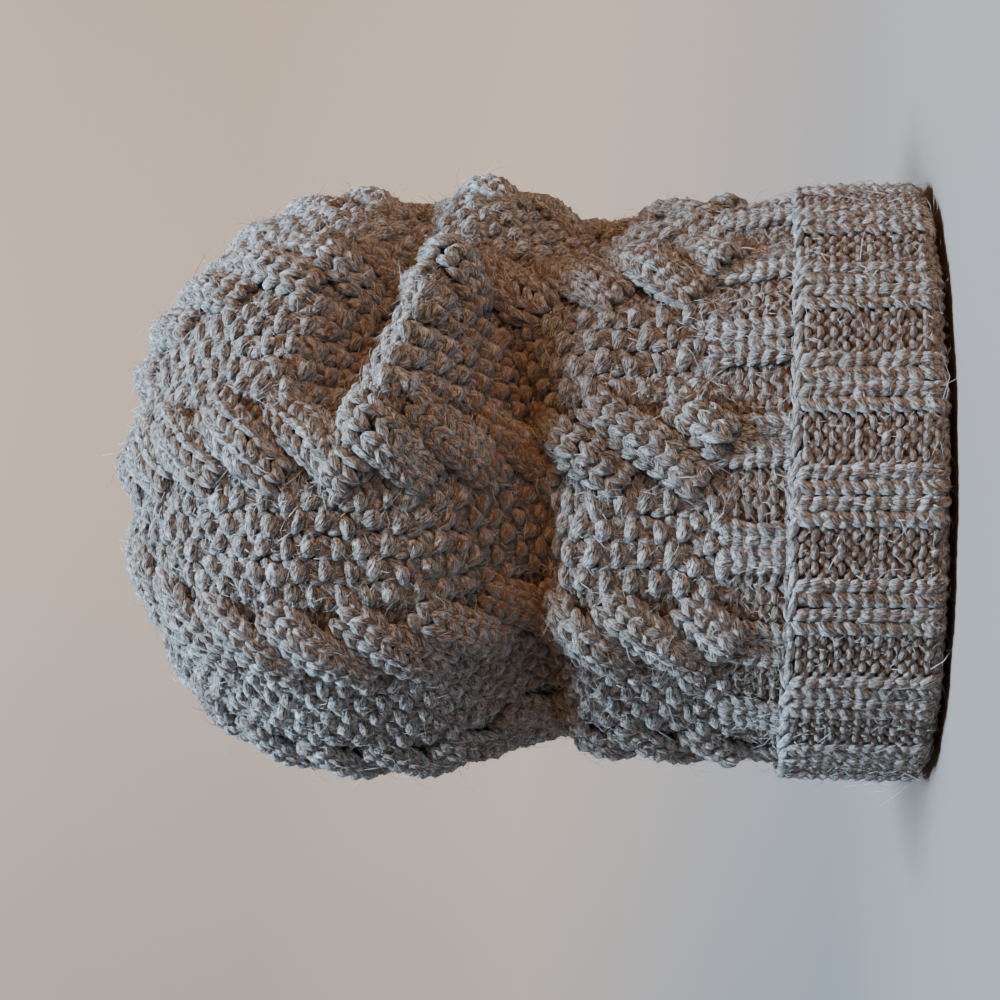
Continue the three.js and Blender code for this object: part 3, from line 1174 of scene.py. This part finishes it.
    def build(self) -> None:
        """Build and dress every piece of the crown."""
        self.backing()
        pieces = {"crown_rib": self.rib(), "gathered_top": self.gather()}
        for number in range(self.shape.cables):
            pieces[f"rope_cable_{number + 1}"] = self.rope(number)
            pieces[f"moss_panel_{number + 1}"] = self.moss(number)
        for name, yarn in pieces.items():
            dress(yarn.piece(name, self.rng, self.origin), self.wool)
            self.grown.append(yarn)


@dataclass
class Cuff:
    """The turned-up cuff: its backing, its two by two rib and its cast-on edge."""

    shape: HatShape
    wool: bpy.types.Material
    lit_edge_wool: bpy.types.Material
    origin: np.ndarray
    seed: int = 11
    row_height: float = 3.25
    rows: int = 14
    first_down: float = 2.6
    knit_share: float = 0.55
    knit_sunk: float = 1.1
    backing_rows: int = 16
    back_stitches: int = 4
    columns_per_rib: int = 8
    outer_share: float = 0.7
    outer_start: float = 1.5
    outer_depth: float = 1.9
    backing_low: float = 0.6
    bump: Bead = Bead(length=1.1, height=2.35, thickness=2.5, arch=-0.6, tuck=0.7, out=-1.3)
    loop: Bead = Bead(length=1.1, height=2.35, thickness=2.6, arch=0.6, tuck=0.75, out=-0.9,
                      grain=Grain.FINE)
    loops_per_rib: int = 4
    edge_outer: Bead = Bead(length=9.2, height=2.7, thickness=2.8, arch=0.35, tuck=0.5, out=-0.9,
                            lean=math.pi / 2 + 0.2, grain=Grain.FINE)
    edge_rear: Bead = Bead(length=8.6, height=2.3, thickness=2.6, arch=-0.3, tuck=0.4, out=-2.6,
                           lean=math.pi / 2 - 0.2, grain=Grain.FINE)
    legs: Legs = Legs(spread=0.5, reach=2.1, tuck=1.1, width=0.5)

    def __post_init__(self) -> None:
        """Lay the map and start the random numbers."""
        self.map = CuffMap(self.shape)
        self.rng = np.random.default_rng(self.seed)
        self.ribs = self.shape.cables * self.shape.ribs_per_cable
        self.grown: list[Yarn] = []

    def backing(self) -> bpy.types.Object:
        """Build the cuff's own wall behind its stitches, round the fold and up inside.

        Returns:
            The new object.
        """
        shape = self.shape
        work = bmesh.new()
        work.loops.layers.uv.new("UVMap")
        columns = self.ribs * self.columns_per_rib
        bmesh.ops.create_grid(work, x_segments=columns, y_segments=self.backing_rows, size=1.0,
                              calc_uvs=True)
        inside = shape.rim_radius + shape.clearance
        rim = shape.rim_radius - shape.knit_wall
        fold = shape.fold_thickness
        for vertex in work.verts:
            place = (vertex.co.x + 1.0) / 2 * shape.cables
            step = (vertex.co.y + 1.0) / 2
            top = float(shape.cuff_top(place))
            if step < self.outer_share:
                down = self.outer_start + (top + 1.0) * step / self.outer_share
                outer = self.map.point(np.array(place), np.array(down))
                angle = math.atan2(outer[0], -outer[1])
                radius = math.hypot(outer[0], outer[1]) - self.outer_depth
                height = max(outer[2], self.backing_low)
            else:
                angle = math.radians(float(shape.azimuth(place)))
                part = (step - self.outer_share) / (1.0 - self.outer_share)
                ways = ((rim, fold / 2), (rim, fold), (inside, fold), (inside, top - 1.0))
                radius, height = ways[int(round(part * len(ways))) - 1]
            co = np.array([radius * math.sin(angle), -radius * math.cos(angle), height])
            vertex.co = (co + self.origin) * MM
        bmesh.ops.remove_doubles(work, verts=work.verts, dist=MERGE)
        edges = [edge for edge in work.edges if edge.is_boundary]
        bmesh.ops.bridge_loops(work, edges=edges)
        bmesh.ops.recalc_face_normals(work, faces=work.faces)
        piece = finished(work, "cuff_backing")
        finish = KnitBacking("cuff_back_knit", self.ribs * self.back_stitches, self.backing_rows)
        dress(piece, finish.material())
        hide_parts("cuff")
        return piece

    def rib(self) -> Yarn:
        """Knit the rib. Its Vs hang upside down because the cuff is turned up.

        Returns:
            Its yarn.
        """
        yarn = Yarn()
        rib, row = (grid.ravel() for grid in np.meshgrid(np.arange(self.ribs), np.arange(self.rows)))
        width = TURN * (self.shape.rim_radius + self.shape.cuff_wall) / self.ribs
        per_rib = 1.0 / self.shape.ribs_per_cable
        down = self.first_down + row * self.row_height
        middle = (rib + 0.5) * per_rib
        stitch = self.knit_share / 2
        # Painted shade: a little on the knit Vs, more on the purl bumps and loops between them.
        for side in (-1, 1):
            spots = self.map.spots(middle + side * stitch / 2 * per_rib, down).moved(out=-self.knit_sunk)
            self.legs.knit(yarn, spots, width * stitch, self.row_height, upside=-1.0, depth=0.2)
        purl = (1.0 - self.knit_share) / 3
        for step in range(-1, 3):
            bump = self.map.spots((rib + (step - 0.5) * purl) * per_rib, down + self.row_height / 2)
            self.bump.lay(yarn, bump, width * purl, depth=0.5)
            if step > -1:
                loop = self.map.spots((rib + (step - 1) * purl) * per_rib, down)
                self.loop.lay(yarn, loop, width * purl, depth=0.35)
        return yarn

    def cast_on(self) -> Yarn:
        """Lay the cast-on chain along the upper edge.

        Returns:
            Its yarn.
        """
        yarn = Yarn()
        loops = self.ribs * self.loops_per_rib
        place = np.arange(loops) / loops * self.shape.cables
        # The rear row of the edge gets a little painted shade.
        rows = ((self.edge_outer, 0.0, 0.5, 0.0), (self.edge_rear, 0.06, -0.4, 0.1))
        for bead, step, down, depth in rows:
            bead.lay(yarn, self.map.spots(place + step, np.full(loops, down)), 1.0, depth)
        return yarn

    def build(self) -> None:
        """Build and dress every piece of the cuff."""
        self.backing()
        rib = self.rib()
        dress(rib.piece("cuff_rib", self.rng, self.origin), self.wool)
        edge = self.cast_on()
        dress(edge.piece("cast_on_edge", self.rng, self.origin), self.lit_edge_wool)
        self.grown += [rib, edge]


class Hair(Enum):
    """The kinds of loose hair: whether they bend, their shortest and longest length, their thickness."""

    LONG = (True, 2.5, 10.0, 0.15)
    SHORT = (False, 1.4, 4.6, 0.22)


@dataclass
class LooseFibres:
    """The fine hairs that stand off brushed wool."""

    grown: list[Yarn]
    wool: bpy.types.Material
    origin: np.ndarray
    hair: Hair
    count: int
    seed: int
    shortness: float = 2.6
    scatter: float = 1.3
    stand: tuple[float, float] = (0.3, 1.4)
    lift: tuple[float, float] = (0.05, 1.0)
    droop: float = 0.55
    curl: float = 0.6
    root: float = 0.2
    swell: float = 1.6
    floor: float = 0.2

    def template(self) -> tuple[np.ndarray, list[tuple[int, ...]]]:
        """Cut one hair, three-sided and pointed along Z, and, for a hair that bends, with a joint halfway.

        Returns:
            Its points and its faces.
        """
        work = bmesh.new()
        bmesh.ops.create_cone(work, segments=3, radius1=1.0, radius2=0.0, depth=2.0, cap_ends=True)
        bmesh.ops.remove_doubles(work, verts=work.verts, dist=1e-4)
        bmesh.ops.translate(work, verts=work.verts, vec=(0.0, 0.0, 1.0))
        if self.hair.value[0]:
            cut = [*work.verts, *work.edges, *work.faces]
            bmesh.ops.bisect_plane(work, geom=cut, plane_co=(0.0, 0.0, 1.0), plane_no=(0.0, 0.0, 1.0))
        bmesh.ops.recalc_face_normals(work, faces=work.faces)
        work.verts.index_update()
        points = np.array([vertex.co[:] for vertex in work.verts])
        faces = [tuple(vertex.index for vertex in item.verts) for item in work.faces]
        work.free()
        return points, faces

    def build(self, name: str, slot: str) -> bpy.types.Object:
        """Scatter the hairs over the stitches as one piece.

        Args:
            name: The piece's name.
            slot: Not used.

        Returns:
            The new object.
        """
        rng = np.random.default_rng(self.seed)
        _, shortest, longest, thickness = self.hair.value
        spots = [yarn.spots() for yarn in self.grown]
        every = Spots(*(np.concatenate([getattr(spot, key) for spot in spots])
                        for key in ("point", "across", "up", "out")))
        at = every.some(rng.choice(len(every.point), self.count, replace=True))
        turn = rng.uniform(0.0, TURN, (self.count, 1))
        flat = at.across * np.cos(turn) + at.up * np.sin(turn)
        bent = np.cross(at.out, flat)
        start = at.point + flat * rng.normal(0.0, self.scatter, (self.count, 1))
        start = start + at.out * rng.uniform(*self.stand, (self.count, 1))
        size = rng.random((self.count, 1))
        length = shortest + (longest - shortest) * size**self.shortness
        lift = rng.uniform(*self.lift, (self.count, 1))
        curl = rng.normal(0.0, self.curl, (self.count, 1))
        shape, faces = self.template()
        level = (shape[:, 2] / 2.0)[None, :, None]
        way = (flat[:, None] * level + at.out[:, None] * (lift[:, None] * (level - self.droop * level**2))
               + bent[:, None] * curl[:, None] * level**2)
        swell = np.where(level > self.root, self.swell, 1.0) * thickness / 2
        side = at.out[:, None] * shape[:, 0][None, :, None] + bent[:, None] * shape[:, 1][None, :, None]
        places = start[:, None] + way * length[:, None] + side * swell
        places = (places + self.origin) * MM
        places[..., 2] = np.maximum(places[..., 2], self.floor * MM)
        joined = [tuple(index + number * len(shape) for index in face)
                  for number in range(self.count) for face in faces]
        mesh = bpy.data.meshes.new(name)
        mesh.from_pydata(places.reshape(-1, 3).tolist(), [], joined)
        tint = mesh.attributes.new(TINT, "FLOAT", "POINT")
        tint.data.foreach_set("value", np.repeat(rng.random(self.count), len(shape)).astype(np.float32))
        mesh.shade_smooth()
        piece = show(mesh)
        dress(piece, self.wool)
        return piece


@dataclass(frozen=True)
class FibreFinish:
    """Single hairs, from dark brown to nearly white."""

    name: str = "single_fibres"
    light: tuple = colour(0.66, 0.63, 0.60)
    dark: tuple = colour(0.07, 0.04, 0.025)

    def material(self) -> bpy.types.Material:
        """Build the material.

        Returns:
            The material, which gives each hair one colour.
        """
        shader = Shader(self.name)
        tint = shader.attribute(TINT)
        shader.feed("Base Color", shader.blend(tint.clamped(0.15, 0.95), self.dark, self.light))
        shader.set(Roughness=0.6, Specular_IOR_Level=0.3, Sheen_Weight=0.2)
        return shader.material


@dataclass(frozen=True)
class Lamp:
    """One soft square light: its place and size in metres, its watts and its tone."""

    name: str
    place: tuple[float, float, float]
    size: float
    watts: float
    tone: tuple[float, float, float]


@dataclass(frozen=True)
class Studio:
    """The camera at the photograph's angle, a pale sweep behind and below with painted light on it, and
    soft light.
    """

    origin: np.ndarray
    distance: float = 489.0
    eye_height: float = 49.8
    axis_pixel: float = 517.0
    focal_pixels: float = 1600.8
    pitch: float = 8.95
    frame_pixels: float = 1000.0
    sensor: float = 36.0
    sweep_half_width: float = 4.0
    sweep_length: float = 7.0
    sweep_front: float = 2.5
    sweep_back: float = 0.9
    sweep_bend: float = 0.5
    # Painted light: the sweep is a dark cool grey low down and towards -X, and a bright warm tone higher up
    # and towards +X.
    painted_shade_tone: tuple = colour(0.135, 0.133, 0.134)
    painted_light_tone: tuple = colour(0.35, 0.205, 0.128)
    lit_upward: Ramp = Ramp(-0.02, 0.24, 0.7)
    lit_aside: Ramp = Ramp(-0.4, 0.4, 0.45)
    glow: tuple = colour(1.0, 0.68, 0.42)
    glow_strength: float = 0.31
    aim: tuple = (0.0, 0.0, 0.12)
    lamps: tuple[Lamp, ...] = (
        Lamp("window", (0.05, -0.5, 1.95), 0.6, 215.0, (0.50, 0.75, 1.0)),
        Lamp("room", (0.9, -0.95, 0.02), 0.7, 16.0, (1.0, 0.49, 0.16)),
    )

    def camera(self) -> None:
        """Place the camera, rolled a quarter turn as the photograph is."""
        data = bpy.data.cameras.new("camera")
        data.sensor_width = self.sensor
        data.lens = self.focal_pixels * self.sensor / self.frame_pixels
        data.clip_end = 20.0
        camera = bpy.data.objects.new("camera", data)
        aside = (self.axis_pixel - self.frame_pixels / 2) / self.focal_pixels * self.distance
        pitch = math.radians(self.pitch)
        rise = Vector((0.0, -math.sin(pitch), math.cos(pitch)))
        look = Vector((0.0, math.cos(pitch), math.sin(pitch)))
        turn = Matrix((-rise, Vector((1.0, 0.0, 0.0)), -look)).transposed()
        place = Vector((self.origin[0] - aside, self.origin[1] - self.distance, self.eye_height)) * MM
        camera.matrix_world = Matrix.Translation(place) @ turn.to_4x4()
        bpy.context.scene.collection.objects.link(camera)
        bpy.context.scene.camera = camera

    def sweep(self) -> None:
        """Build the floor and the wall behind as one curved sheet."""
        work = bmesh.new()
        bmesh.ops.create_grid(work, x_segments=2, y_segments=40, size=1.0)
        bend, back = self.sweep_bend, self.sweep_back
        corner = back - bend
        for vertex in work.verts:
            way = (vertex.co.y + 1.0) / 2 * self.sweep_length - self.sweep_front
            if way <= corner:
                spot = (way, 0.0)
            elif way <= corner + bend * math.pi / 2:
                angle = (way - corner) / bend
                spot = (corner + bend * math.sin(angle), bend - bend * math.cos(angle))
            else:
                spot = (back, bend + way - corner - bend * math.pi / 2)
            vertex.co = (vertex.co.x * self.sweep_half_width, *spot)
        sweep = finished(work, "sweep")
        shader = Shader("pale_sweep")
        where = shader.node("ShaderNodeTexCoord", {}, {}, "Object")
        aside, _, high = shader.axes(where)
        grain = shader.noise(where, 160.0, detail=2.0, roughness=0.5)
        # Painted light: warmer and brighter higher up and towards +X.
        painted_light = high.ramped(self.lit_upward) + aside.ramped(self.lit_aside)
        shader.feed("Base Color", shader.blend(painted_light, self.painted_shade_tone, self.painted_light_tone))
        bump = {"Height": grain, "Strength": 0.15, "Distance": 0.001}
        shader.feed("Normal", shader.node("ShaderNodeBump", {}, bump))
        shader.set(Roughness=0.95, Specular_IOR_Level=0.05)
        sweep.data.materials.append(shader.material)

    def lights(self) -> None:
        """Add the cool light from above, the warm light from below and the room's glow."""
        for lamp in self.lamps:
            data = bpy.data.lights.new(lamp.name, "AREA")
            data.size = lamp.size
            data.energy = lamp.watts
            data.color = lamp.tone
            light = bpy.data.objects.new(lamp.name, data)
            light.location = lamp.place
            aim = Vector(self.aim) - Vector(lamp.place)
            light.rotation_euler = aim.to_track_quat("-Z", "Y").to_euler()
            bpy.context.scene.collection.objects.link(light)
        world = bpy.data.worlds.new("room_glow")
        world.use_nodes = True
        background = world.node_tree.nodes["Background"]
        background.inputs["Color"].default_value = self.glow
        background.inputs["Strength"].default_value = self.glow_strength
        bpy.context.scene.world = world


def hat_axis() -> np.ndarray:
    """Return where the hat's axis stands, in millimetres, from the cuff's box."""
    low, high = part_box("cuff")
    return np.array([(low[0] + high[0]) / 2, (low[1] + high[1]) / 2, 0.0]) / MM


def main() -> None:
    """Build the hat, its light and its camera."""
    logging.basicConfig(level=logging.INFO, format="%(message)s")
    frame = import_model()
    logging.info("solids of the packed model: %s", ", ".join(sorted(frame["nodes"])))
    origin = hat_axis()
    shape = HatShape()
    studio = Studio(origin)
    studio.camera()
    studio.sweep()
    studio.lights()
    wool = HeatherWool().material()
    # A paler, greyer copy of the wool for the cast-on edge: painted light on the edge that faces up.
    edge = HeatherWool("lit_edge_wool", light=colour(0.62, 0.61, 0.60), middle=colour(0.24, 0.20, 0.17))
    crown = Crown(shape, wool, origin)
    crown.build()
    cuff = Cuff(shape, wool, edge.material(), origin)
    cuff.build()
    hair = FibreFinish().material()
    for name, part, slot, kind, count, seed in (
        ("crown_fibres", crown, "crown_knit", Hair.LONG, 14000, 23),
        ("cuff_fibres", cuff, "cuff_knit", Hair.LONG, 1200, 29),
        ("crown_fuzz", crown, "crown_knit", Hair.SHORT, 44000, 31),
        ("cuff_fuzz", cuff, "cuff_knit", Hair.SHORT, 3500, 37),
    ):
        LooseFibres(part.grown, hair, origin, kind, count, seed).build(name, slot)


if __name__ == "__main__":
    main()
